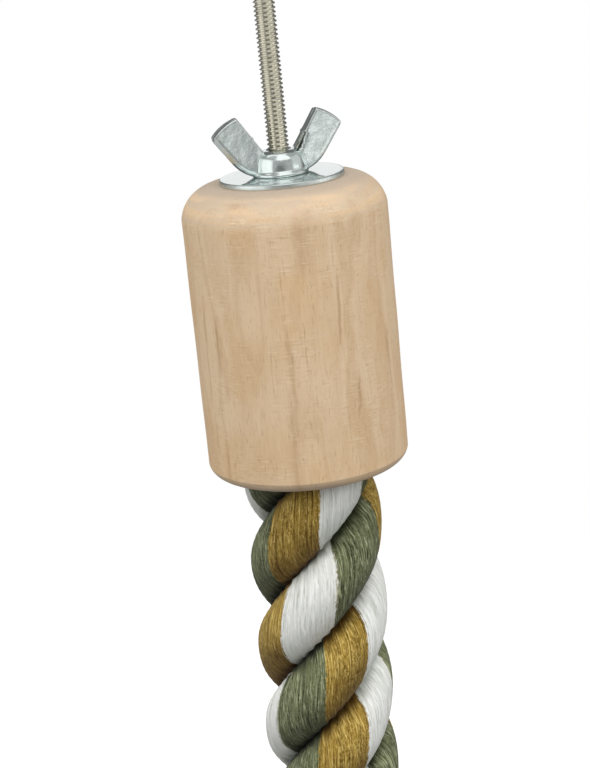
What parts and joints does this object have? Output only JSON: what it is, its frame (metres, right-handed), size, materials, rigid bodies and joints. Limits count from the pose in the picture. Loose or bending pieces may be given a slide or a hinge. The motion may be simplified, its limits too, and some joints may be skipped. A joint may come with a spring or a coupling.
{
  "type": "bird perch",
  "caption": "Thick laid cotton rope perch with turned wooden end caps, each with a threaded stud, large washer and wing nut that clamp it to a cage.",
  "frame": {"origin": "centre of the upper cap's flat outer face, where the perch meets the cage", "axes": "+Z along the upper stud, out of the upper cap and away from the rope; +X to the right and +Y away from the viewer in the picture"},
  "size_m": [0.0604, 0.0604, 0.738],
  "materials": {
    "turned_wood": "bare turned wood, lightly sanded",
    "stud_steel": "plain bright steel thread, slightly warm",
    "zinc_plate": "bright zinc plating, slightly blue",
    "cotton_rope": "soft cotton yarn in olive green, ochre and white",
    "binding_tape": "matte cloth tape"
  },
  "bodies": {
    "perch": {"upper_cap": "turned_wood", "upper_stud": "stud_steel", "upper_inner_washer": "zinc_plate", "upper_inner_nut": "zinc_plate", "upper_rope_end": "binding_tape", "rope": "cotton_rope", "lower_rope_end": "binding_tape", "lower_inner_nut": "zinc_plate", "lower_inner_washer": "zinc_plate", "lower_stud": "stud_steel", "lower_cap": "turned_wood"},
    "upper_washer": {"upper_washer": "zinc_plate"},
    "upper_wing_nut": {"upper_wing_nut": "zinc_plate"},
    "lower_washer": {"lower_washer": "zinc_plate"},
    "lower_wing_nut": {"lower_wing_nut": "zinc_plate"}
  },
  "joints": [
    {"name": "upper_washer_travel", "type": "slide", "parent": "perch", "child": "upper_washer", "axis": [0, 0, 1], "range_m": [0, 0.051]},
    {"name": "upper_nut_turn", "type": "hinge", "parent": "upper_washer", "child": "upper_wing_nut", "pos_m": [0, 0, 0.0015], "axis": [0, 0, 1], "range_deg": [0, 14400]},
    {"name": "lower_washer_travel", "type": "slide", "parent": "perch", "child": "lower_washer", "axis": [0, 0, -1], "range_m": [0, 0.051]},
    {"name": "lower_nut_turn", "type": "hinge", "parent": "lower_washer", "child": "lower_wing_nut", "pos_m": [0, 0, -0.6115], "axis": [0, 0, -1], "range_deg": [0, 14400]}
  ],
  "couplings": [
    {"joint": "upper_washer_travel", "follows": "upper_nut_turn", "m_per_rad": 0.00020213},
    {"joint": "lower_washer_travel", "follows": "lower_nut_turn", "m_per_rad": 0.00020213}
  ]
}
